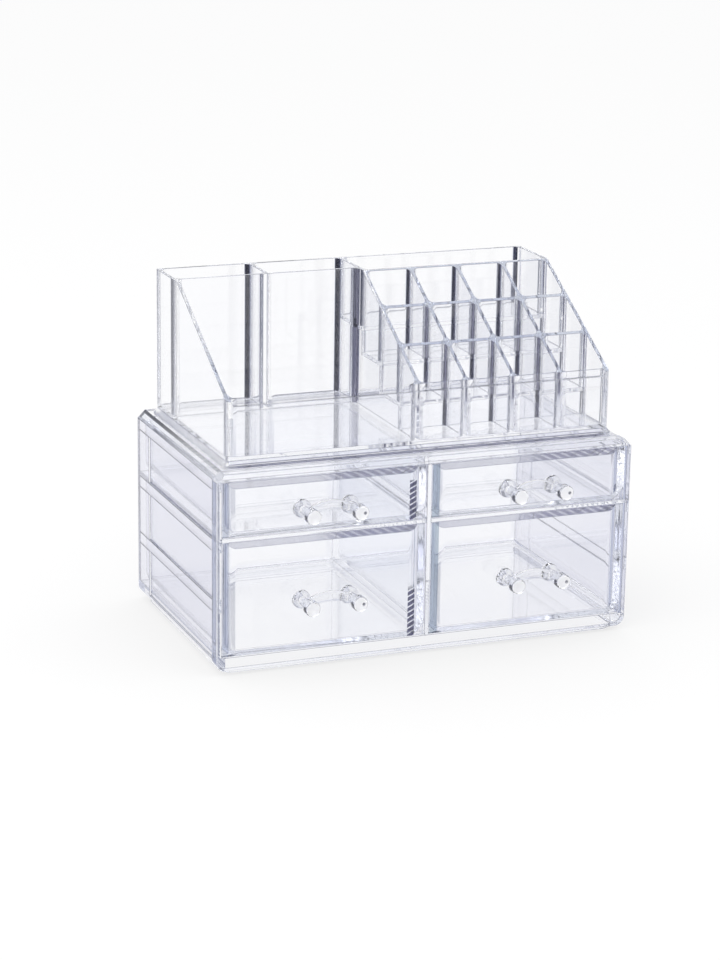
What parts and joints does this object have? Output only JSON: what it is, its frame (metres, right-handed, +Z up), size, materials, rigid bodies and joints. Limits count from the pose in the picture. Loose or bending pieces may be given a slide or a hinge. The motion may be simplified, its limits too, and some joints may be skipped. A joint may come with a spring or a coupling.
{
  "type": "make-up organizer with drawers",
  "caption": "Clear plastic cosmetic organizer: a case with sliding drawers and arched handles, and a lift-off top tray with an open bin, a back row and stepped slots.",
  "frame": {"origin": "middle of the bounding box at floor level, on the case's left-right centre plane", "axes": "+X to the right seen from the front, +Y from the drawer fronts to the back, +Z up"},
  "size_m": [0.24, 0.1612, 0.1934],
  "materials": {
    "case_plastic": "clear moulded plastic, polished",
    "frame_plastic": "clear moulded plastic, polished, bright edges",
    "partition_plastic": "clear moulded plastic, polished, bright front edge",
    "drawer_plastic": "clear moulded plastic, polished",
    "handle_plastic": "clear moulded plastic, polished",
    "tray_plastic": "clear moulded plastic, polished"
  },
  "bodies": {
    "case": {"case_shell": "case_plastic", "front_frame": "frame_plastic", "foot_ring": "case_plastic", "back_panel": "case_plastic", "centre_partition": "partition_plastic", "left_shelf": "partition_plastic", "right_shelf": "partition_plastic"},
    "upper_left_drawer": {"upper_left_drawer": "drawer_plastic", "upper_left_handle": "handle_plastic"},
    "lower_left_drawer": {"lower_left_drawer": "drawer_plastic", "lower_left_handle": "handle_plastic"},
    "upper_right_drawer": {"upper_right_drawer": "drawer_plastic", "upper_right_handle": "handle_plastic"},
    "lower_right_drawer": {"lower_right_drawer": "drawer_plastic", "lower_right_handle": "handle_plastic"},
    "top_tray": {"top_tray": "tray_plastic"}
  },
  "joints": [
    {"name": "upper_left_slide", "type": "slide", "parent": "case", "child": "upper_left_drawer", "axis": [0, -1, 0], "range_m": [0, 0.115]},
    {"name": "lower_left_slide", "type": "slide", "parent": "case", "child": "lower_left_drawer", "axis": [0, -1, 0], "range_m": [0, 0.115]},
    {"name": "upper_right_slide", "type": "slide", "parent": "case", "child": "upper_right_drawer", "axis": [0, -1, 0], "range_m": [0, 0.115]},
    {"name": "lower_right_slide", "type": "slide", "parent": "case", "child": "lower_right_drawer", "axis": [0, -1, 0], "range_m": [0, 0.115]},
    {"name": "tray_lift", "type": "slide", "parent": "case", "child": "top_tray", "axis": [0, 0, 1], "range_m": [0, 0.1]}
  ]
}
